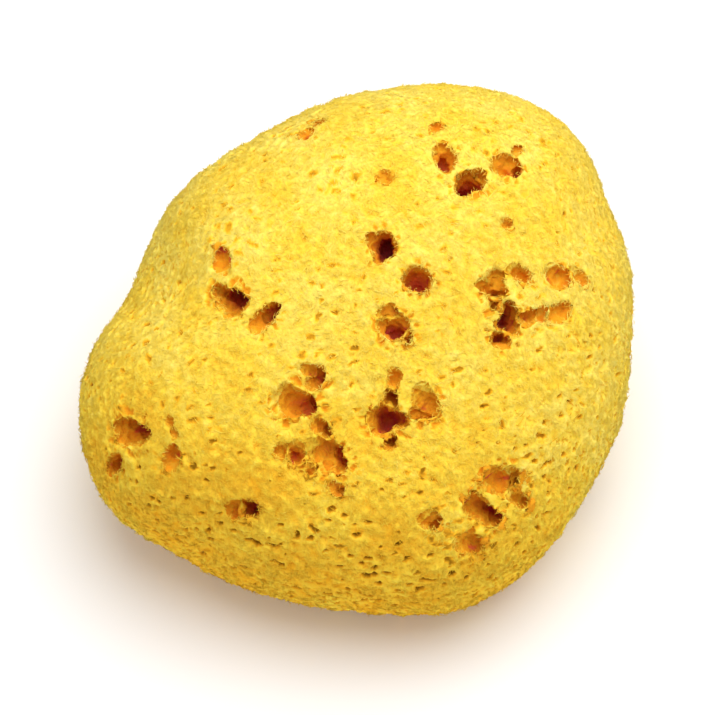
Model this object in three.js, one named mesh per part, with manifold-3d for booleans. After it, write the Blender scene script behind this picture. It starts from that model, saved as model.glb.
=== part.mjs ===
// A natural bath sponge: one puffed, lobed body, cut flat where it was taken off its rock, with the
// wide canal mouths (oscula) of its crown, smaller ones round its flanks, and cut canals in its base.
// Millimetres, +Z up. The origin is on the surface it rests on, under the middle of the sponge.
// The body is shaped in the crown's own frame: x to the right, y up the crown, w out of the crown.
import * as THREE from "three";
import { mergeVertices } from "three/addons/utils/BufferGeometryUtils.js";
import Module from "manifold-3d";

// ---- The body ----
const CROWN_LEAN = 30; // degrees from the vertical to the crown's axis, towards -Y
const CROWN_RISE = 46; // from the widest section to the top of the crown
const UNDERSIDE_DROP = 60; // from the widest section to where the underside would end, uncut
const CENTRE_HEIGHT = 41; // from the cut base to the middle of the widest section
const PUFFINESS = 2.35; // 2 gives an ellipsoid, and more gives a fuller shoulder
const BODY_DETAIL = 11; // cuts along each edge of the icosahedron that the body starts from
const OUTLINE_SAMPLES = 1440; // points along the smooth outline, for looking a radius up
const NORMAL_STEP = 0.03; // radians to the neighbours that give the skin's normal
const SKIN_TOLERANCE = 1e-6; // of a point found on the skin
const MERGE_TOLERANCE = 1e-4; // between vertices that are one

// The widest section, as [degrees from +x, millimetres from the middle].
const OUTLINE = [
  [0, 67.9], [11, 69.7], [20, 71.4], [29, 71.8], [37, 74], [46, 75.2], [55, 73.8], [65, 70.8],
  [75, 67.8], [96, 62.4], [118, 58.6], [133, 59], [143, 58.8], [154, 57.8], [167, 58.6], [179, 65],
  [190, 69], [201, 71], [213, 71.6], [221, 69.6], [230, 66.8], [239, 66.2], [257, 64.6], [279, 66.4],
  [290, 69.2], [301, 69.6], [314, 69], [329, 67.4], [345, 67.6],
];

// Gentle lumps and hollows, each about a direction from the middle: rise in millimetres, spread in degrees.
const SWELLINGS = [
  { name: "upper lobe", towards: [38, 34, 34], rise: 2.5, spread: 24 },
  { name: "lower left lobe", towards: [-48, -26, 26], rise: 3, spread: 22 },
  { name: "hollow between the lobes", towards: [-50, 14, 24], rise: -4, spread: 13 },
  { name: "hollow at the right edge", towards: [58, 36, 20], rise: -2.5, spread: 9 },
  { name: "belly", towards: [12, -44, 30], rise: 2, spread: 20 },
  { name: "hollow under the lobe", towards: [-38, -50, 22], rise: -2, spread: 9 },
  { name: "crown dip", towards: [-2, -18, 46], rise: -1.5, spread: 12 },
  { name: "back shoulder", towards: [30, 44, -30], rise: 3, spread: 20 },
  { name: "back hollow", towards: [-12, 50, -34], rise: -4, spread: 15 },
  { name: "left back lump", towards: [-52, 20, -36], rise: 3, spread: 18 },
  { name: "right flank lump", towards: [62, -14, -20], rise: 2, spread: 16 },
];

// ---- The canals ----
const MOUTH_ABOVE = 1.5; // a canal's cutter starts this far above the skin, plus half its radius
const INWARD_MIX = 0.55; // 1 sends a flank's canal square to the skin, and 0 to the body's middle
const RAGGED_SHARE = 0.32; // share by which a mouth's sides stand in and out, at most
const BEND_SHARE = 0.9; // sideways drift of a canal's end, in radii
const MOUTH_FLARE = 1.4; // width of the cutter above the skin, in radii

// The forms of canal, widest first: the least radius of a mouth that takes the form, the sides round
// it, and its width along its depth as [share of the depth, share of the radius].
const CANAL_FORMS = [
  { from: 2.4, sides: 9, profile: [[1, 0], [0.95, 0.45], [0.65, 0.76], [0.08, 1]] },
  { from: 1.35, sides: 7, profile: [[1, 0], [0.9, 0.5], [0.3, 0.92]] },
  { from: 0, sides: 5, profile: [[1, 0], [0.85, 0.6]] },
];

// Clusters on the crown. The lean is the slope from the crown's axis, along x and y, of the line from
// a canal's end out through its mouth. A mouth is [x, y, radius, depth, stretch, turn]: the stretch is
// its length over its width, and the turn is the direction of that length in degrees from +x. Both may
// be left out.
const CROWN_CLUSTERS = {
  top_right: {
    lean: [-0.1, 0.35],
    mouths: [
      [19.4, 54, 1.4, 4], [21.4, 46.1, 2.3, 9, 1.1, 100], [20.8, 48.3, 1.7, 3],
      [26.6, 40.2, 2.9, 14, 1.1, 0], [29.6, 41.8, 1.5, 5], [36.6, 45.6, 2.9, 6, 1.2, 20],
      [38.4, 43.4, 1.3, 10], [39.3, 48.6, 1.3, 4, 2, 50],
    ],
  },
  top_left: {
    lean: [-0.2, 0.6],
    mouths: [
      [-12.6, 53.4, 1.9, 3.5], [-9.4, 56, 1.5, 3.5], [7, 41.8, 1.9, 3],
    ],
  },
  centre_top: {
    lean: [-0.2, 0.15],
    mouths: [
      [6.9, 24.3, 2.7, 16, 1.2, 90], [4, 26, 1.6, 4], [14.4, 16.6, 2.6, 10, 1.25, 10],
      [8.8, 5.5, 2.2, 10, 1.3, 0], [11.7, 3.3, 1.2, 12], [7.6, 8.9, 1.9, 4], [36, 31, 1.1, 3.5],
    ],
  },
  right_upper: {
    lean: [0, 0.5],
    mouths: [
      [33.5, 17.6, 2, 5], [33.3, 15, 1.4, 12, 2.1, 0], [33, 12, 1.1, 8, 1.6, 90],
      [39.3, 18.4, 1.4, 5, 1.6, 0], [48.3, 17.8, 2.9, 5], [54, 18, 1.3, 4, 1.6, 0],
    ],
  },
  right_lower: {
    lean: [0.2, -0.2],
    mouths: [
      [36.9, 7, 2.6, 13, 1.4, 95], [41.6, 7.4, 1.5, 6, 2, 0], [45, 8.6, 1.2, 4, 1.5, 60],
      [35, 2.4, 1.4, 8, 1.5, 0], [49.3, 8.5, 2, 4, 1.3, 20],
    ],
  },
  left: {
    lean: [-0.45, -0.15],
    mouths: [
      [-32.2, 21.9, 2.3, 4.5, 1.2, 90], [-29.8, 12, 3, 14, 1.15, 0], [-33, 13.6, 1.5, 7, 1.6, 150],
      [-21.9, 8, 1.8, 12, 2.2, 40],
    ],
  },
  far_left: {
    lean: [-0.6, -0.3],
    mouths: [
      [-55, -20, 3.3, 12, 1.6, 15], [-59.8, -28.2, 1.8, 8, 2, 50], [-45, -26.8, 2.1, 5, 1.6, 80],
      [-45.2, -17.6, 1.1, 5], [-43.6, -20, 1, 5],
    ],
  },
  low_left: {
    lean: [-0.3, -0.1],
    mouths: [
      [-26.4, -37.9, 2.1, 11], [-29.2, -38.6, 2.3, 5],
    ],
  },
  middle: {
    lean: [-0.45, 0.05],
    mouths: [
      [-15.6, -12.4, 2.9, 9, 1.3, 0], [-11.8, -13, 1.5, 13, 1.4, 90], [-9.6, -6.8, 1.5, 12, 1.9, 70],
      [-11.6, -5, 1.5, 5], [-8.6, -18.6, 1, 8, 2.2, 130],
    ],
  },
  low_middle_left: {
    lean: [0.1, 0.4],
    mouths: [
      [-13.6, -24.8, 2.1, 7], [-17.7, -23.6, 1.6, 3.5], [-10.4, -27.9, 1, 6],
    ],
  },
  low_middle_right: {
    lean: [-0.5, 0.1],
    mouths: [
      [-7.9, -26, 2.8, 5.5, 1.3, 100], [-5.1, -25.3, 1.5, 14, 2.3, 105],
      [-5.2, -33.2, 1.2, 8, 1.7, 125],
    ],
  },
  centre_low: {
    lean: [-0.2, -0.15],
    mouths: [
      [6.8, -16.8, 3, 12], [8, -12, 1.2, 10, 1.9, 85], [10.4, -16.6, 1.2, 9, 1.7, 10],
      [8.5, -22.3, 1.1, 7, 1.5, 80], [9, -7, 1.4, 4, 1.8, 90],
    ],
  },
  centre_low_right: {
    lean: [-0.1, 0.5],
    mouths: [
      [16, -12.4, 2.5, 5.5, 1.1, 90], [16, -14.4, 1.4, 12, 2.1, 10],
    ],
  },
  low_right: {
    lean: [-0.45, 0.25],
    mouths: [
      [34.9, -31.6, 2.6, 6, 1.3, 120], [36, -30.2, 1.3, 12, 1.6, 50], [38, -35.4, 1.3, 9, 1.6, 110],
      [29.5, -38.6, 2.2, 13, 2, 130], [17.8, -41, 1.2, 8, 2, 30], [27.7, -47.2, 2.4, 6],
      [28.7, -50, 1.1, 9], [27.5, -52.6, 1, 4.5],
    ],
  },
};

// Clusters round the flanks and back: degrees from +x and degrees out of the widest section, in the
// crown's frame, with the [sideways, upwards, radius, depth] of each mouth.
const FLANK_CLUSTERS = [
  { azimuth: 8, rise: -14, mouths: [[0, 0, 3.2, 15], [8, 3, 2, 8], [-5, 6, 1.5, 6]] },
  { azimuth: 52, rise: -26, mouths: [[0, 0, 2.8, 14], [6, -4, 1.8, 8]] },
  { azimuth: 88, rise: -8, mouths: [[0, 0, 3.4, 16], [-8, 2, 2.2, 9], [4, 7, 1.4, 6]] },
  { azimuth: 108, rise: -38, mouths: [[0, 0, 3, 13], [7, 4, 1.8, 8]] },
  { azimuth: 74, rise: -50, mouths: [[0, 0, 2.4, 11]] },
  { azimuth: 138, rise: -14, mouths: [[0, 0, 3, 14], [7, -3, 1.9, 8]] },
  { azimuth: 152, rise: -44, mouths: [[0, 0, 2.6, 12], [-6, 5, 1.6, 6]] },
  { azimuth: 176, rise: -10, mouths: [[0, 0, 2.6, 12], [5, 5, 1.6, 7]] },
  { azimuth: 330, rise: -16, mouths: [[0, 0, 2.4, 11]] },
];
const MIDDLE_TO_FLANK = 64; // turns a distance along the flank into an angle

// Canals that the cut across the base laid open: [X, Y, radius, depth], from the base's middle.
const BASE_CANALS = [
  [-24, 10, 3.4, 16], [-8, 26, 2.6, 12], [15, 17, 3.8, 18], [27, -5, 2.4, 11],
  [6, -22, 3, 14], [-20, -18, 2, 9], [-2, 2, 1.8, 8],
];

const SEED = 20; // for the canals' drift and their ragged sides

const wasm = await Module();
wasm.setup();

const radians = THREE.MathUtils.degToRad;
const CROWN_TURN = new THREE.Matrix4().makeRotationX(radians(CROWN_LEAN));

// The outline's radius at an angle, from a closed smooth curve through its points.
const outlineCurve = new THREE.CatmullRomCurve3(
  OUTLINE.map(([angle, radius]) =>
    new THREE.Vector3(Math.cos(radians(angle)), Math.sin(radians(angle)), 0).multiplyScalar(radius)),
  true,
  "centripetal",
);
const outlineSamples = outlineCurve
  .getSpacedPoints(OUTLINE_SAMPLES)
  .map((point) => [(Math.atan2(point.y, point.x) + 2 * Math.PI) % (2 * Math.PI), point.length()])
  .sort((a, b) => a[0] - b[0]);

function outlineRadius(angle) {
  const wanted = (angle + 2 * Math.PI) % (2 * Math.PI);
  let low = 0;
  let high = outlineSamples.length - 1;
  while (high - low > 1) {
    const middle = (low + high) >> 1;
    if (outlineSamples[middle][0] > wanted) high = middle;
    else low = middle;
  }
  const [angleLow, radiusLow] = outlineSamples[low];
  const [angleHigh, radiusHigh] = outlineSamples[high];
  const share = THREE.MathUtils.clamp((wanted - angleLow) / (angleHigh - angleLow || 1), 0, 1);
  return THREE.MathUtils.lerp(radiusLow, radiusHigh, share);
}

const swellings = SWELLINGS.map(({ towards, rise, spread }) => ({
  direction: new THREE.Vector3(...towards).normalize(),
  rise,
  spread: radians(spread),
}));

// How far the skin is from the middle in a unit direction of the crown's frame.
function skinRadius(direction) {
  const across = Math.hypot(direction.x, direction.y);
  const half = direction.z > 0 ? CROWN_RISE : UNDERSIDE_DROP;
  const section = outlineRadius(Math.atan2(direction.y, direction.x));
  const puffed = ((across / section) ** PUFFINESS + (Math.abs(direction.z) / half) ** PUFFINESS)
    ** (-1 / PUFFINESS);
  return swellings.reduce((radius, lump) => {
    const away = direction.angleTo(lump.direction) / lump.spread;
    return radius + lump.rise * Math.exp(-0.5 * away ** 2);
  }, puffed);
}

function skinPoint(direction) {
  const unit = direction.clone().normalize();
  return unit.multiplyScalar(skinRadius(unit));
}

// The skin's outward normal at a point on it, from two neighbouring points.
function skinNormal(point) {
  const unit = point.clone().normalize();
  const side = new THREE.Vector3(0, 0, 1).cross(unit);
  if (side.lengthSq() < 1e-6) side.set(1, 0, 0);
  side.normalize().multiplyScalar(NORMAL_STEP);
  const up = unit.clone().cross(side);
  const along = skinPoint(unit.clone().add(side)).sub(skinPoint(unit.clone().sub(side)));
  const upwards = skinPoint(unit.clone().add(up)).sub(skinPoint(unit.clone().sub(up)));
  return along.cross(upwards).normalize();
}

// The point of the crown's skin over (x, y), found by halving the distance along w.
function crownPoint(x, y) {
  let inside = 0;
  let outside = 2 * CROWN_RISE;
  while (outside - inside > SKIN_TOLERANCE) {
    const w = (inside + outside) / 2;
    const probe = new THREE.Vector3(x, y, w);
    if (probe.length() < skinRadius(probe.clone().normalize())) inside = w;
    else outside = w;
  }
  return new THREE.Vector3(x, y, inside);
}

// A closed geometry as a solid, with its shared vertices merged and its collapsed faces dropped.
function solidOf(geometry) {
  const bare = geometry.clone();
  bare.deleteAttribute("normal");
  bare.deleteAttribute("uv");
  const merged = mergeVertices(bare, MERGE_TOLERANCE);
  const faces = [];
  for (let i = 0; i < merged.index.count; i += 3) {
    const [a, b, c] = [0, 1, 2].map((corner) => merged.index.getX(i + corner));
    if (a !== b && b !== c && c !== a) faces.push(a, b, c);
  }
  return new wasm.Manifold(new wasm.Mesh({
    numProp: 3,
    vertProperties: new Float32Array(merged.attributes.position.array),
    triVerts: new Uint32Array(faces),
  }));
}

// The whole body, uncut, in the part's frame.
function bodyGeometry() {
  const geometry = new THREE.IcosahedronGeometry(1, BODY_DETAIL);
  const position = geometry.attributes.position;
  const point = new THREE.Vector3();
  for (let i = 0; i < position.count; i++) {
    point.copy(skinPoint(point.fromBufferAttribute(position, i)));
    position.setXYZ(i, point.x, point.y, point.z);
  }
  return geometry.applyMatrix4(CROWN_TURN).translate(0, 0, CENTRE_HEIGHT);
}

let seed = SEED;
function random() {
  seed = (seed * 1664525 + 1013904223) % 4294967296;
  return seed / 4294967296;
}

// A canal's cutter along its own -Y, with its mouth at y = 0: a tapered tube with ragged sides that
// drifts sideways and is stretched along its own X.
function canalGeometry(radius, depth, stretch) {
  const { sides, profile } = CANAL_FORMS.find(({ from }) => radius >= from);
  const top = MOUTH_ABOVE + radius / 2;
  const outline = profile.map(([share, width]) => new THREE.Vector2(width * radius, -share * depth));
  outline.push(new THREE.Vector2(MOUTH_FLARE * radius, top), new THREE.Vector2(0, top));
  const geometry = new THREE.LatheGeometry(outline, sides);
  const ragged = Array.from({ length: sides }, () => 1 + RAGGED_SHARE * (2 * random() - 1));
  const drift = random() * 2 * Math.PI;
  const position = geometry.attributes.position;
  for (let i = 0; i < position.count; i++) {
    const width = ragged[Math.floor(i / outline.length) % sides];
    const bend = BEND_SHARE * radius * Math.min(0, position.getY(i) / depth) ** 2;
    position.setX(i, position.getX(i) * width * stretch + bend * Math.cos(drift));
    position.setZ(i, position.getZ(i) * width + bend * Math.sin(drift));
  }
  return geometry;
}

// A canal's cutter placed with its mouth at a point, its depth against an outward axis and its
// length turned about that axis from a sideways direction.
function canalAt(point, outward, sideways, [radius, depth, stretch = 1, turn = 0]) {
  const axis = outward.clone().normalize();
  const across = sideways.clone().addScaledVector(axis, -sideways.dot(axis)).normalize();
  const length = across.applyAxisAngle(axis, radians(turn));
  const basis = new THREE.Matrix4().makeBasis(length, axis, length.clone().cross(axis));
  return canalGeometry(radius, depth, stretch).applyMatrix4(basis.setPosition(point));
}

// A canal that leaves the skin at a point of the crown's frame, moved into the part's frame.
function skinCanal(point, outward, size) {
  return canalAt(point, outward, new THREE.Vector3(1, 0, 0), size)
    .applyMatrix4(CROWN_TURN)
    .translate(0, 0, CENTRE_HEIGHT);
}

function crownCanals() {
  return Object.values(CROWN_CLUSTERS).flatMap(({ lean, mouths }) =>
    mouths.map(([x, y, ...size]) => skinCanal(crownPoint(x, y), new THREE.Vector3(...lean, 1), size)));
}

function flankCanals() {
  return FLANK_CLUSTERS.flatMap(({ azimuth, rise, mouths }) =>
    mouths.map(([sideways, upwards, ...size]) => {
      const around = radians(azimuth) + sideways / MIDDLE_TO_FLANK;
      const above = radians(rise) + upwards / MIDDLE_TO_FLANK;
      const direction = new THREE.Vector3(
        Math.cos(around) * Math.cos(above),
        Math.sin(around) * Math.cos(above),
        Math.sin(above),
      );
      const mouth = skinPoint(direction);
      const outward = mouth.clone().normalize().lerp(skinNormal(mouth), INWARD_MIX);
      return skinCanal(mouth, outward, size);
    }));
}

function baseCanals() {
  return BASE_CANALS.map(([x, y, ...size]) =>
    canalAt(new THREE.Vector3(x, y, 0), new THREE.Vector3(0, 0, -1), new THREE.Vector3(1, 0, 0), size));
}

// Everything under the cut.
function rockSide() {
  const size = 2 * (CROWN_RISE + UNDERSIDE_DROP);
  return new THREE.BoxGeometry(size, size, size).translate(0, 0, -size / 2);
}

function spongeGeometry() {
  const cutters = [rockSide(), ...crownCanals(), ...flankCanals(), ...baseCanals()];
  const solid = cutters.reduce((left, cutter) => left.subtract(solidOf(cutter)), solidOf(bodyGeometry()));
  const mesh = solid.getMesh();
  const geometry = new THREE.BufferGeometry()
    .setAttribute("position", new THREE.BufferAttribute(mesh.vertProperties, mesh.numProp))
    .setIndex(new THREE.BufferAttribute(mesh.triVerts, 1));
  geometry.computeBoundingBox();
  const middle = geometry.boundingBox.getCenter(new THREE.Vector3());
  geometry.translate(-middle.x, -middle.y, 0);
  geometry.computeVertexNormals();
  return geometry;
}

const spongin = new THREE.MeshStandardMaterial({ color: 0xf2c640, roughness: 0.95, metalness: 0 });

const sponge = new THREE.Mesh(spongeGeometry(), spongin);
sponge.name = "sponge";

const root = new THREE.Group();
root.add(sponge);

export default root;
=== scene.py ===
"""A natural bath sponge on its CAD frame: the body with its pores, and the spongin fibres over it."""

import math

import bpy
import numpy as np
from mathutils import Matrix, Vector
from mathutils.bvhtree import BVHTree


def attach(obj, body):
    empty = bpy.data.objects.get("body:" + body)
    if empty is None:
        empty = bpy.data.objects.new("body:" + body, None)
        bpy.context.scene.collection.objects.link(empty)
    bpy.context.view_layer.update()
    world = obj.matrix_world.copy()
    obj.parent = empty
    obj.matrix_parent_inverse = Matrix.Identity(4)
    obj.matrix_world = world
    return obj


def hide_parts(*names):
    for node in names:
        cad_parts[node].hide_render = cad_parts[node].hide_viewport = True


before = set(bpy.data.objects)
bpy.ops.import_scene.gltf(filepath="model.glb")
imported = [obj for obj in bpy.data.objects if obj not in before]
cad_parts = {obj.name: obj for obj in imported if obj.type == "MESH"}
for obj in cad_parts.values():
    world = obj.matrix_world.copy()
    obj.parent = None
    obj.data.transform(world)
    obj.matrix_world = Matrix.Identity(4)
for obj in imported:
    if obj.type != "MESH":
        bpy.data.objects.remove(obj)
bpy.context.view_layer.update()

MM = 0.001
NODE = "sponge"

# ---- The sponge's own frame, as in the CAD: the crown's axis leans from +Z towards -Y ----
CROWN_LEAN = math.radians(30)
BODY_MIDDLE = np.array([-0.14, -1.68, 41.0]) * MM
RIGHT = np.array([1.0, 0.0, 0.0])
UP_CROWN = np.array([0.0, math.cos(CROWN_LEAN), math.sin(CROWN_LEAN)])
CROWN_AXIS = np.array([0.0, -math.sin(CROWN_LEAN), math.cos(CROWN_LEAN)])

rng = np.random.default_rng(20)


# ---- Fields: numbers that can be read at any point of space ----


class Waves:
    """Patternless ripples in space: a sum of plane waves of about one wavelength, with variance 1."""

    def __init__(self, wavelength, count=48, spread=0.15, stretch=1.0):
        direction = rng.normal(size=(count, 3))
        direction /= np.linalg.norm(direction, axis=1, keepdims=True)
        length = wavelength * (1 + spread * rng.uniform(-1, 1, (count, 1)))
        self.waves = direction * 2 * np.pi / length
        self.waves -= np.outer(self.waves @ RIGHT, RIGHT) * (1 - 1 / stretch)
        self.phase = rng.uniform(0, 2 * np.pi, count)
        self.gain = math.sqrt(2 / count)

    def at(self, points):
        return self.gain * np.cos(points @ self.waves.T + self.phase).sum(1)

    def slope(self, points):
        return -self.gain * np.sin(points @ self.waves.T + self.phase) @ self.waves


def smoothstep(low, high, x):
    t = np.clip((x - low) / (high - low), 0, 1)
    return t * t * (3 - 2 * t)


def unit(v):
    return v / np.maximum(np.linalg.norm(v, axis=1, keepdims=True), 1e-12)


def across(vectors, normals):
    """The part of each vector that lies along the skin."""
    return vectors - (vectors * normals).sum(1, keepdims=True) * normals


class SolidGrid:
    """The solid as cells of space that are full or empty, ready to be blurred."""

    PITCH = 1.0 * MM
    MARGIN = 12  # empty cells round the solid
    NUDGE = 0.001 * MM  # past a surface, so that the next ray doesn't meet it again

    def __init__(self, mesh):
        tree = BVHTree.FromPolygons([v.co for v in mesh.vertices], [p.vertices for p in mesh.polygons])
        places = np.array([v.co for v in mesh.vertices])
        self.low = places.min(0) - self.MARGIN * self.PITCH
        counts = np.ceil((places.max(0) - self.low) / self.PITCH).astype(int) + self.MARGIN
        full = np.zeros(counts, np.float32)
        for i in range(counts[0]):
            for j in range(counts[1]):
                self.fill_column(tree, full, i, j)
        self.shape = full.shape
        self.spectrum = np.fft.rfftn(full)

    def fill_column(self, tree, full, i, j):
        x = self.low[0] + i * self.PITCH + self.NUDGE
        y = self.low[1] + j * self.PITCH + self.NUDGE
        z, crossings = self.low[2], []
        while (hit := tree.ray_cast((x, y, z), (0, 0, 1))[0]) is not None:
            crossings.append(hit.z)
            z = hit.z + self.NUDGE
        steps = ((np.array(crossings) - self.low[2]) / self.PITCH).round().astype(int)
        for bottom, top in zip(steps[::2], steps[1::2]):
            full[i, j, bottom:top] = 1

    def blurred(self, reach):
        axes = [np.fft.fftfreq(n) for n in self.shape[:2]] + [np.fft.rfftfreq(self.shape[2])]
        squares = sum(f**2 for f in np.meshgrid(*axes, indexing="ij"))
        blur = np.exp(-2 * (np.pi * reach / self.PITCH) ** 2 * squares)
        return np.fft.irfftn(self.spectrum * blur, s=self.shape).astype(np.float32)


class Burial:
    """The share of the space round a point that is sponge: 0.5 on open skin, and more in a hollow."""

    # The normal curve's inverse is about SCALE * (share**POWER - (1 - share)**POWER).
    SCALE = 4.91
    POWER = 0.14

    def __init__(self, grid, reach):
        self.low, self.pitch, self.reach = grid.low, grid.PITCH, reach
        self.cells = grid.blurred(reach)

    def at(self, points):
        place = np.clip((points - self.low) / self.pitch, 0, np.array(self.cells.shape) - 1.001)
        cell = place.astype(int)
        part = place - cell
        total = np.zeros(len(points))
        for corner in np.ndindex(2, 2, 2):
            weight = np.prod(np.where(corner, part, 1 - part), axis=1)
            total += weight * self.cells[tuple((cell + corner).T)]
        return total

    def slope(self, points):
        step = self.pitch
        sides = [self.at(points + step * axis) - self.at(points - step * axis) for axis in np.eye(3)]
        return np.stack(sides, 1) / (2 * step)

    def below_skin(self, points):
        """About how far a point is under the sponge's outside, from the normal curve's inverse."""
        share = np.clip(self.at(points), 0.001, 0.999)
        return self.reach * self.SCALE * (share**self.POWER - (1 - share) ** self.POWER)


grid = SolidGrid(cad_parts[NODE].data)
lips = Burial(grid, reach=2.6 * MM)
bulk = Burial(grid, reach=5 * MM)
pores = Waves(2.5 * MM, spread=0.3, stretch=1.4)
crumbs = Waves(2.2 * MM, spread=0.3, stretch=1.7)
lumps = Waves(7 * MM)
patches = Waves(24 * MM)
grain = Waves(1.1 * MM)
rays = Waves(2.2 * MM)
flow = [Waves(40 * MM) for _ in range(3)]

DEEP = 9 * MM  # under the outside, where the painted shade down a canal is darkest
LIP_PAINTED_SHADE = 0.2  # the depth on the inner side of a lip, which paints a warm shade there
WALL_PAINTED_SHADE = 0.22  # the least depth on a canal's wall, which paints shade on the wall
GROOVE_PAINTED_SHADE = 0.24  # the depth in a groove, which paints shade in the groove
GROOVE_CUT = 0.8 * MM
GROOVE_STEP = 0.5 * MM  # along the way from a point to its lip
GROOVE_STEPS = 7
PORE_CUT = 1.2  # in mm, as every part of skin_offset is
FELT_SINK = 0.7


def depth_of(points):
    """0 on open skin, a little over 0 on the inner side of a lip, and 1 well down a canal. Its colours are
    painted shade: warmer on a lip's inner side, darker down a canal.
    """
    under = np.clip((bulk.below_skin(points) - 0.6 * MM) / DEEP, 0, 1)
    return np.maximum(under, LIP_PAINTED_SHADE * smoothstep(0.52, 0.62, lips.at(points)))


def canal_of(points):
    """0 on open skin and its lips, and over 0.3 in any hollow."""
    under = np.clip((bulk.below_skin(points) - 1 * MM) / DEEP, 0, 1)
    return np.maximum(under, 0.35 * smoothstep(0.55, 0.68, lips.at(points)))


def wall_of(points, normals):
    """1 where the skin turns into a canal, and 0 where it faces the way the sponge's outside does."""
    facing = -(unit(bulk.slope(points)) * normals).sum(1)
    return (1 - smoothstep(0.35, 0.75, facing)) * smoothstep(2 * MM, 8 * MM, points[:, 2])


def canal_depth(points, normals):
    """The depth with painted shade on the canal walls and deeper painted shade in their pores, and a random
    mottling.
    """
    inside = smoothstep(0.1, 0.35, canal_of(points))
    mottled = np.maximum(depth_of(points), WALL_PAINTED_SHADE * wall_of(points, normals))
    mottled += inside * (0.35 * pore_of(points) + 0.07 * crumbs.at(points))
    return np.clip(mottled, 0, 1)


def towards_mouth(points, normals):
    """The way along the skin to the nearest mouth, and 0 to 1 for how near it is."""
    towards = across(lips.slope(points), normals)
    return unit(towards), smoothstep(12, 50, np.linalg.norm(towards, axis=1))


def groove_of(points, normals):
    """0 to 1 in the grooves that run out from the mouths, each along one line to its lip."""
    groove = np.zeros(len(points))
    near = np.flatnonzero(towards_mouth(points, normals)[1] > 0.03)
    place = points[near].copy()
    for _ in range(GROOVE_STEPS):
        open_yet = (lips.at(place) < 0.56)[:, None]
        place += open_yet * GROOVE_STEP * unit(lips.slope(place))
    pull = towards_mouth(points[near], normals[near])[1]
    open_share = 1 - smoothstep(0.25, 0.5, canal_of(points[near]))
    groove[near] = smoothstep(0.4, 0.9, rays.at(place)) * smoothstep(0.08, 0.35, pull) * open_share
    return groove


def pore_of(points):
    """0 on the felt between pores, and 1 in the middle of a pore."""
    more = 0.3 * (1 - smoothstep(0.03, 0.09, points[:, 2]))
    level = pores.at(points) + 0.2 * crumbs.at(points) + 0.25 * patches.at(points) + more
    return smoothstep(1.65, 2.05, level)


def skin_offset(points):
    """How far the pored skin stands out of the CAD's skin. A sharp lip has no pores to cut it off."""
    felt = 0.15 * lumps.at(points) + 0.17 * crumbs.at(points) + 0.1 * grain.at(points) - FELT_SINK
    inside = smoothstep(0.1, 0.35, canal_of(points))
    pore = pore_of(points) * (1 - inside) * smoothstep(0.40, 0.47, lips.at(points))
    return (felt * (1 + 0.6 * inside) + 0.6 * inside - PORE_CUT * pore) * MM


def mesh_arrays(mesh):
    places = np.empty(len(mesh.vertices) * 3, np.float32)
    mesh.vertices.foreach_get("co", places)
    normals = np.empty(len(mesh.vertices) * 3, np.float32)
    mesh.vertices.foreach_get("normal", normals)
    return places.reshape(-1, 3).astype(float), normals.reshape(-1, 3).astype(float)


def shaped(piece, kind, **settings):
    """The piece's mesh after one modifier, in place of its mesh."""
    modifier = piece.modifiers.new(kind, kind)
    for key, value in settings.items():
        setattr(modifier, key, value)
    mesh = bpy.data.meshes.new_from_object(piece.evaluated_get(bpy.context.evaluated_depsgraph_get()))
    piece.modifiers.clear()
    piece.data = mesh
    return mesh


def set_attribute(mesh, name, values):
    attribute = mesh.attributes.new(name, "FLOAT", "POINT")
    attribute.data.foreach_set("value", values.astype(np.float32))


def tone_map(mesh, spare):
    """A map of the mesh whose places are its shade and its depth, which are all its colours come from.

    The spare value, from 0 to 1, keeps points of one shade and depth apart.
    """
    shade, depth = np.empty((2, len(mesh.vertices)), np.float32)
    mesh.attributes["shade"].data.foreach_get("value", shade)
    mesh.attributes["depth"].data.foreach_get("value", depth)
    corner = np.empty(len(mesh.loops), np.int32)
    mesh.loops.foreach_get("vertex_index", corner)
    across_map = 0.02 + 0.96 * np.clip(shade, 0, 1)
    up_map = 0.02 + 0.86 * depth + 0.1 * np.clip(spare, 0, 1)
    place = np.stack([across_map, up_map], 1)
    layer = mesh.uv_layers.new(name="OFBake")
    layer.uv.foreach_set("vector", place[corner].astype(np.float32).ravel())


def tone_and_painted_shade(points):
    """Paler over most of the crown and a deeper gold towards its foot and a little towards its left: partly
    the sponge's own tone, and partly painted shade where less of the light from above and the right falls.
    """
    up = (points - BODY_MIDDLE) @ (UP_CROWN + 0.2 * RIGHT) / (60 * MM)
    return 0.24 * smoothstep(-1.1, 0.15, up) - 0.11 + 0.03 * patches.at(points)


# ---- The body ----

SKIN_PITCH = 0.55 * MM
BODY_FACES = 196000
BASE_PORES = 0.9 * MM  # only what is cut deeper than this shows in the flat base

body = bpy.data.objects.new("sponge_body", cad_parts[NODE].data.copy())
bpy.context.scene.collection.objects.link(body)
skin_mesh = shaped(body, "REMESH", mode="VOXEL", voxel_size=SKIN_PITCH)
skin, skin_normal = mesh_arrays(skin_mesh)
groove = groove_of(skin, skin_normal)
moved = skin + skin_normal * (skin_offset(skin) - GROOVE_CUT * groove)[:, None]
on_base = (skin[:, 2] < 0.5 * MM) & (skin_normal[:, 2] < -0.8)
moved[on_base, 2] = np.maximum(0, -skin_offset(skin[on_base]) - BASE_PORES)
moved[:, 2] = np.maximum(moved[:, 2], 0)
skin_mesh.vertices.foreach_set("co", moved.astype(np.float32).ravel())
# The skin's shade: painted shade darkens it in pores and grooves and keeps it a little under the fibre
# tips, as between fibres; a random mottle and the tone with painted shade over the crown are added.
skin_tone_with_painted_shade = 0.66 - 0.6 * pore_of(skin) - 0.4 * groove + 0.05 * crumbs.at(skin) + tone_and_painted_shade(skin)
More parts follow.
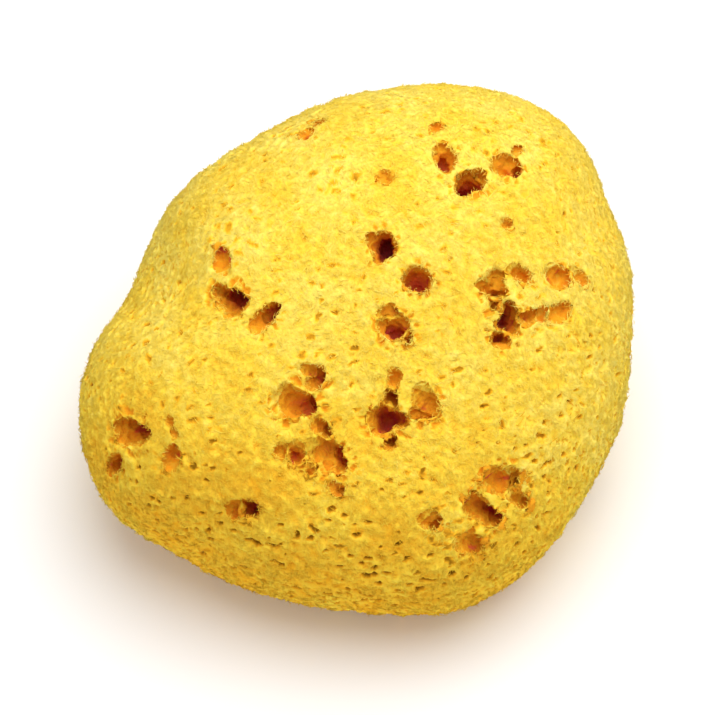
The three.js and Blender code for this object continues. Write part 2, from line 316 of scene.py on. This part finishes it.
# The depth paints shade down the canals, on their lips and walls, and in the grooves.
set_attribute(skin_mesh, "depth", np.maximum(canal_depth(skin, skin_normal), GROOVE_PAINTED_SHADE * groove))
set_attribute(skin_mesh, "shade", skin_tone_with_painted_shade)
skin_mesh.update()
body.data = skin_mesh.copy()
body.data.update()
triangles = 2 * len(skin_mesh.polygons)
shaped(body, "DECIMATE", ratio=BODY_FACES / triangles, use_collapse_triangulate=True)
body.data.shade_smooth()
places = mesh_arrays(body.data)[0]
places[:, 2] = np.maximum(places[:, 2], 0)
body.data.vertices.foreach_set("co", places.astype(np.float32).ravel())
body.data.update()
tone_map(body.data, 0.5 + 0.3 * grain.at(places))


# ---- The fibres ----

MOST_IN_PIECE = 190000  # triangles


def skin_samples(spacing):
    """Points over the skin but not the base, one in each cube of this size, with their normals."""
    skin_mesh.calc_loop_triangles()
    corners = np.empty(len(skin_mesh.loop_triangles) * 3, np.int32)
    skin_mesh.loop_triangles.foreach_get("vertices", corners)
    corners = corners.reshape(-1, 3)
    a, b, c = skin[corners].transpose(1, 0, 2)
    area = np.linalg.norm(np.cross(b - a, c - a), axis=1) / 2
    count = int(4 * area.sum() / spacing**2)
    chosen = rng.choice(len(corners), count, p=area / area.sum())
    u, v = rng.uniform(size=(2, count))
    over = u + v > 1
    u, v = np.where(over, 1 - u, u), np.where(over, 1 - v, v)
    weights = np.stack([1 - u - v, u, v], 1)
    points = (skin[corners[chosen]] * weights[:, :, None]).sum(1)
    normals = unit((skin_normal[corners[chosen]] * weights[:, :, None]).sum(1))
    _, first = np.unique(np.floor(points / spacing).astype(int), axis=0, return_index=True)
    points, normals = points[first], normals[first]
    off_base = (points[:, 2] > 1.0 * MM) | (normals[:, 2] > -0.5)
    return points[off_base], normals[off_base]


def tangents(normals):
    """A random direction along the skin at each point."""
    return unit(across(rng.normal(size=normals.shape), normals))


def grain_direction(points, normals):
    """The way the fibres lie: a slow drift over the skin, and straight into a canal near its mouth."""
    drift = unit(across(np.stack([wave.at(points) for wave in flow], 1), normals))
    towards, near = towards_mouth(points, normals)
    pull = near[:, None]
    return unit((1 - pull) * drift + 1.5 * pull * towards), pull


def fibre_mesh(name, lines, radii, normals, values):
    """Closed three-sided fibres: each is a line of points with a radius at each, which is 0 at both ends.

    They are shaded mostly as the skin under them is, so that a felt of them looks soft.
    """
    count, along = lines.shape[:2]
    inner = along - 2
    heading = unit(lines[:, -1] - lines[:, 0])
    side = unit(np.cross(heading, rng.normal(size=heading.shape)))
    other = np.cross(heading, side)
    turn = np.arange(3) * 2 * np.pi / 3
    ring = side[:, None] * np.cos(turn)[:, None] + other[:, None] * np.sin(turn)[:, None]
    rings = lines[:, 1:-1, None] + radii[:, 1:-1, None, None] * ring[:, None]
    places = np.concatenate([lines[:, :1], rings.reshape(count, -1, 3), lines[:, -1:]], 1)
    around = np.concatenate([-heading[:, None], np.tile(ring, (1, inner, 1)), heading[:, None]], 1)
    facing = unit((0.75 * normals[:, None] + 0.25 * around).reshape(-1, 3))
    per = places.shape[1]
    faces = []
    for k in range(3):
        after = (k + 1) % 3
        faces.append((0, 1 + after, 1 + k))
        for r in range(inner - 1):
            low, high = 1 + 3 * r, 4 + 3 * r
            faces.append((low + k, low + after, high + after))
            faces.append((low + k, high + after, high + k))
        last = 1 + 3 * (inner - 1)
        faces.append((last + k, last + after, per - 1))
    faces = (np.array(faces)[None] + per * np.arange(count)[:, None, None]).reshape(-1, 3)
    places = places.reshape(-1, 3)
    places[:, 2] = np.maximum(places[:, 2], 0.0)
    mesh = bpy.data.meshes.new(name)
    mesh.vertices.add(len(places))
    mesh.vertices.foreach_set("co", places.astype(np.float32).ravel())
    mesh.loops.add(faces.size)
    mesh.loops.foreach_set("vertex_index", faces.astype(np.int32).ravel())
    mesh.polygons.add(len(faces))
    mesh.polygons.foreach_set("loop_start", np.arange(0, faces.size, 3, dtype=np.int32))
    mesh.update(calc_edges=True)
    mesh.shade_smooth()
    mesh.normals_split_custom_set_from_vertices(facing)
    repeat = np.array([0] + sum([[r + 1] * 3 for r in range(inner)], []) + [along - 1])
    for key, value in values.items():
        set_attribute(mesh, key, value[:, repeat].ravel())
    piece = bpy.data.objects.new(name, mesh)
    bpy.context.scene.collection.objects.link(piece)
    tone_map(mesh, np.tile([0.5] + [0.1, 0.5, 0.9] * inner + [0.5], count))
    return piece


def with_painted_mouth_shade(lines, near, most):
    """The depth of each point of the fibres, raised a little near a mouth: painted warm shade on the fibres
    round a lip.
    """
    depth = depth_of(lines.reshape(-1, 3)).reshape(lines.shape[:2])
    return np.maximum(depth, most * near[:, None])


def by_height(name, lines, radii, normals, depth, shade):
    """The fibres as pieces of no more than a set size, each for one band along the crown's axis."""
    triangles = len(lines) * (6 * lines.shape[1] - 12)
    bands = math.ceil(triangles / MOST_IN_PIECE)
    order = np.argsort((lines[:, 0] - BODY_MIDDLE) @ CROWN_AXIS)
    pieces = []
    for band, rows in enumerate(np.array_split(order, bands)):
        values = {"depth": depth[rows], "shade": shade[rows]}
        pieces.append(fibre_mesh(f"{name}_{band + 1}", lines[rows], radii[rows], normals[rows], values))
    return pieces


def surfaced(points, normals, sink):
    """Points moved onto the pored skin, and a little into it."""
    return points + normals * (skin_offset(points) - sink)[:, None]


def tufts(name, spacing, height, spread, each, radius):
    """Sheaves of fibres that lean in towards one tip, over all the felt between the pores."""
    points, normals = skin_samples(spacing)
    keep = (pore_of(points) < 0.4) & (canal_of(points) < rng.uniform(0.02, 0.2, len(points)))
    keep &= groove_of(points, normals) < 0.4
    points, normals = points[keep], normals[keep]
    heading, pull = grain_direction(points, normals)
    tall = height * rng.uniform(0.5, 1.3, (len(points), 1))
    lean = tall * rng.uniform(0.2, 1.1, (len(points), 1)) * heading + 0.3 * tall * tangents(normals)
    tip = surfaced(points, normals, 0) + tall * normals + lean
    count = len(points)
    sideways = np.cross(normals, heading)
    lines = []
    for k in range(each):
        angle = 2 * np.pi * (k + rng.uniform(0, 0.8, (count, 1))) / each
        outwards = np.cos(angle) * heading + np.sin(angle) * sideways
        foot = points + spread * rng.uniform(0.5, 1.2, (count, 1)) * outwards
        root = surfaced(foot, normals, 0.15 * MM)
        end = tip + rng.normal(size=(count, 3)) * 0.3 * MM
        bend = 0.12 * MM * normals + rng.normal(size=(count, 3)) * 0.08 * MM
        middle = root + 0.5 * (end - root) + bend
        lines.append(np.stack([root, middle, end], 1))
    lines = np.concatenate(lines)
    tone = np.tile(rng.normal(0, 0.035, (count, 1)), (each, 1)) + rng.normal(0, 0.03, (len(lines), 1))
    normals, pull = np.tile(normals, (each, 1)), np.tile(pull[:, 0], each)
    on_felt = np.abs(lips.at(lines[:, 0]) - 0.5) < 0.1
    for part in lines[:, 0], lines[:, 1]:
        on_felt &= (pore_of(part) < 0.25) & (groove_of(part, normals) < 0.4)
    lines, tone, normals, pull = lines[on_felt], tone[on_felt], normals[on_felt], pull[on_felt]
    radii = radius * rng.uniform(0.7, 1.3, (len(lines), 1)) * np.array([[0, 1, 0]])
    depth = with_painted_mouth_shade(lines, pull, 0.07)
    # Darker at the root than at the tip: painted shade among the fibres.
    shade = np.array([[0.56, 0.68, 0.74]]) + tone + tone_and_painted_shade(lines[:, 0])[:, None]
    return by_height(name, lines, radii, normals, depth, shade)


def strands(name, spacing, length, radius):
    """Fibres that lie along the felt, from tuft to tuft and over the lips of the mouths."""
    points, normals = skin_samples(spacing)
    keep = (pore_of(points) < 0.5) & (canal_of(points) < rng.uniform(0.1, 1.6, len(points)))
    keep &= groove_of(points, normals) < 0.3
    points, normals = points[keep], normals[keep]
    heading, pull = grain_direction(points, normals)
    heading = unit(heading + (1 - 0.7 * pull) * 0.8 * tangents(normals))
    count = len(points)
    half = length * rng.uniform(0.5, 1.2, (count, 1)) / 2
    lift = rng.uniform(0.0, 0.3, (count, 1)) * MM
    start = surfaced(points - half * heading, normals, 0.25 * MM)
    end = surfaced(points + half * heading, normals, 0.25 * MM)
    middle = surfaced(points, normals, 0) + lift * normals
    early = middle - 0.35 * half * heading + 0.1 * MM * tangents(normals)
    late = middle + 0.35 * half * heading + 0.1 * MM * tangents(normals)
    clear = (groove_of(start, normals) < 0.3) & (groove_of(end, normals) < 0.3)
    lines = np.stack([start, early, late, end], 1)[clear]
    normals, pull = normals[clear], pull[clear]
    radii = radius * rng.uniform(0.7, 1.3, (len(lines), 1)) * np.array([[0, 1, 1, 0]])
    depth = with_painted_mouth_shade(lines, pull[:, 0], 0.1)
    tone = rng.normal(0, 0.04, (len(lines), 1)) + tone_and_painted_shade(lines[:, 0])[:, None]
    # Darker at both ends, where they meet the felt, than in the middle: painted shade.
    shade = np.array([[0.56, 0.7, 0.7, 0.56]]) + tone
    return by_height(name, lines, radii, normals, depth, shade)


def fringe(name, spacing, length, radius):
    """Fibres that stand out over the mouths from their lips."""
    points, normals = skin_samples(spacing)
    inwards, near = towards_mouth(points, normals)
    keep = (near > 0.4) & (canal_of(points) < 0.1) & (groove_of(points, normals) < 0.1)
    points, normals, inwards = points[keep], normals[keep], inwards[keep]
    count = len(points)
    inwards = unit(inwards + 0.3 * tangents(normals) + 0.1 * normals)
    reach = length * rng.uniform(0.4, 1.2, (count, 1))
    root = surfaced(points - 0.5 * MM * inwards, normals, 0.2 * MM)
    middle = surfaced(points, normals, 0) + 0.4 * reach * inwards
    end = middle + 0.6 * reach * inwards - 0.15 * reach * normals
    lines = np.stack([root, middle, end], 1)
    radii = radius * rng.uniform(0.7, 1.3, (count, 1)) * np.array([[0, 1, 0]])
    tone = rng.normal(0, 0.06, (count, 1)) + tone_and_painted_shade(points)[:, None]
    # Darker at the root than at the tip, and the depth below warmer at the root: painted shade among the
    # fibres and under a lip.
    shade = np.array([[0.55, 0.75, 0.85]]) + tone
    depth = with_painted_mouth_shade(lines, near[keep], 0.16) * np.array([[1, 0.9, 0.6]])
    return by_height(name, lines, radii, normals, depth, shade)


fibres = [
    *tufts("tufts", spacing=1.0 * MM, height=0.28 * MM, spread=1.2 * MM, each=4, radius=0.085 * MM),
    *strands("strands", spacing=1.75 * MM, length=3.2 * MM, radius=0.09 * MM),
    *fringe("fringe", spacing=0.9 * MM, length=1.6 * MM, radius=0.1 * MM),
]


# ---- Materials ----


def linear(text):
    """A colour written as sRGB in hexadecimal, in the linear numbers that a node takes."""
    values = [int(text[i:i + 2], 16) / 255 for i in (0, 2, 4)]
    return tuple(v / 12.92 if v <= 0.04045 else ((v + 0.055) / 1.055) ** 2.4 for v in values) + (1,)


def ramp(nodes, links, source, stops):
    """A colour that follows a value through these stops."""
    node = nodes.new("ShaderNodeValToRGB")
    while len(node.color_ramp.elements) > 1:
        node.color_ramp.elements.remove(node.color_ramp.elements[-1])
    for k, (at, colour) in enumerate(stops):
        element = node.color_ramp.elements[0] if k == 0 else node.color_ramp.elements.new(at)
        element.position = at
        element.color = linear(colour)
    links.new(source, node.inputs["Fac"])
    return node.outputs["Color"]


# Colours by shade on the skin, whose dark end is painted shade in pores and grooves, and by depth in a
# canal, which are painted shade, as sRGB
SKIN_STOPS = [(0.0, "8c6412"), (0.25, "cc9220"), (0.45, "f6b428"), (0.7, "fed644"), (1.0, "ffe872")]
CANAL_FROM = 0.15  # the depth from which the canal's painted shade has taken over
CANAL_PAINTED_SHADE_STOPS = [
    (0.0, "fdca38"), (0.1, "f8b62c"), (0.2, "f2a626"), (0.35, "e68e26"),
    (0.5, "dc7030"), (0.7, "d0563e"), (1.0, "cc4a50"),
]


def added(nodes, links, a, b):
    node = nodes.new("ShaderNodeMath")
    links.new(a, node.inputs[0])
    links.new(b, node.inputs[1])
    return node.outputs["Value"]


def noise(nodes, links, size, low, high):
    """Soft noise with lumps of about this size, spread from low to high."""
    space = nodes.new("ShaderNodeTexCoord")
    texture = nodes.new("ShaderNodeTexNoise")
    texture.inputs["Scale"].default_value = 1 / size
    texture.inputs["Detail"].default_value = 2
    links.new(space.outputs["Object"], texture.inputs["Vector"])
    spread = nodes.new("ShaderNodeMapRange")
    spread.inputs["From Min"].default_value = 0.3
    spread.inputs["From Max"].default_value = 0.7
    spread.inputs["To Min"].default_value = low
    spread.inputs["To Max"].default_value = high
    links.new(texture.outputs["Fac"], spread.inputs["Value"])
    return spread.outputs["Result"]


def spongin(name, subsurface, bump_strength):
    """Spongin: yellow by its shade on the skin, and orange to maroon by its depth down a canal, which is
    painted shade; the skin's shade too is painted darker in pores, grooves and at the fibres' roots.
    """
    material = bpy.data.materials.new(name)
    material.use_nodes = True
    nodes, links = material.node_tree.nodes, material.node_tree.links
    shader = nodes["Principled BSDF"]
    shade = nodes.new("ShaderNodeAttribute")
    shade.attribute_name = "shade"
    depth = nodes.new("ShaderNodeAttribute")
    depth.attribute_name = "depth"
    mottle = added(nodes, links, shade.outputs["Fac"], noise(nodes, links, 9 * MM, -0.06, 0.06))
    skin_colour = ramp(nodes, links, mottle, SKIN_STOPS)
    # The canal's colours: painted shade, darker and redder with depth.
    painted_canal_shade = ramp(nodes, links, depth.outputs["Fac"], CANAL_PAINTED_SHADE_STOPS)
    inside = nodes.new("ShaderNodeMapRange")
    inside.inputs["From Min"].default_value = 0.0
    inside.inputs["From Max"].default_value = CANAL_FROM
    links.new(depth.outputs["Fac"], inside.inputs["Value"])
    mix = nodes.new("ShaderNodeMix")
    mix.data_type = "RGBA"
    links.new(inside.outputs["Result"], mix.inputs["Factor"])
    links.new(skin_colour, mix.inputs["A"])
    links.new(painted_canal_shade, mix.inputs["B"])
    links.new(mix.outputs["Result"], shader.inputs["Base Color"])
    links.new(noise(nodes, links, 3 * MM, 0.82, 0.98), shader.inputs["Roughness"])
    bump = nodes.new("ShaderNodeBump")
    bump.inputs["Strength"].default_value = bump_strength
    bump.inputs["Distance"].default_value = 0.2 * MM
    links.new(noise(nodes, links, 0.6 * MM, 0, 1), bump.inputs["Height"])
    links.new(bump.outputs["Normal"], shader.inputs["Normal"])
    shader.inputs["Specular IOR Level"].default_value = 0
    shader.inputs["Subsurface Weight"].default_value = subsurface
    shader.inputs["Subsurface Radius"].default_value = (1.0, 0.7, 0.25)
    shader.inputs["Subsurface Scale"].default_value = 1.2 * MM
    return material


skin_material = spongin("spongin_skin", subsurface=0.25, bump_strength=0.6)
fibre_material = spongin("spongin_fibre", subsurface=0, bump_strength=0.15)
for piece in [body] + fibres:
    piece.data.materials.clear()
    piece.data.materials.append(skin_material if piece == body else fibre_material)
    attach(piece, "root")
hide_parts(NODE)


# ---- Floor, light and camera ----


def area_light(name, place, target, size, power):
    lamp = bpy.data.lights.new(name, "AREA")
    lamp.shape = "DISK"
    lamp.size = size
    lamp.energy = power
    holder = bpy.data.objects.new(name, lamp)
    bpy.context.scene.collection.objects.link(holder)
    holder.location = place
    holder.rotation_euler = Vector(target - place).to_track_quat("-Z", "Y").to_euler()


floor_mesh = bpy.data.meshes.new("floor")
FLOOR_HALF = 3
floor_corners = [(x * FLOOR_HALF, y * FLOOR_HALF, 0) for x, y in ((-1, -1), (1, -1), (1, 1), (-1, 1))]
floor_mesh.from_pydata(floor_corners, [], [(0, 1, 2, 3)])
floor = bpy.data.objects.new("floor", floor_mesh)
bpy.context.scene.collection.objects.link(floor)
floor_material = bpy.data.materials.new("pale_floor")
floor_material.use_nodes = True
floor_shader = floor_material.node_tree.nodes["Principled BSDF"]
floor_shader.inputs["Base Color"].default_value = (0.9, 0.9, 0.9, 1)
floor_shader.inputs["Roughness"].default_value = 0.9
floor_mesh.materials.append(floor_material)

world = bpy.data.worlds.new("studio")
world.use_nodes = True
world.node_tree.nodes["Background"].inputs["Color"].default_value = (1, 1, 1, 1)
world.node_tree.nodes["Background"].inputs["Strength"].default_value = 0.65
bpy.context.scene.world = world
KEY_AWAY = 1.2
KEY_POWER = 13
key_place = BODY_MIDDLE + KEY_AWAY * (0.14 * RIGHT + 0.57 * UP_CROWN + 0.78 * CROWN_AXIS)
area_light("key", key_place, BODY_MIDDLE, KEY_AWAY, KEY_POWER)
bpy.context.scene.view_settings.view_transform = "Standard"

CAMERA_AWAY = 1.0
camera_data = bpy.data.cameras.new("camera")
camera_data.lens = 202
camera_data.sensor_width = 36
camera_data.clip_end = 20
camera = bpy.data.objects.new("camera", camera_data)
bpy.context.scene.collection.objects.link(camera)
aim = BODY_MIDDLE + 0.37 * MM * RIGHT - 1.87 * MM * UP_CROWN
camera.location = aim + CAMERA_AWAY * CROWN_AXIS
camera.rotation_euler = (CROWN_LEAN, 0, 0)
bpy.context.scene.camera = camera
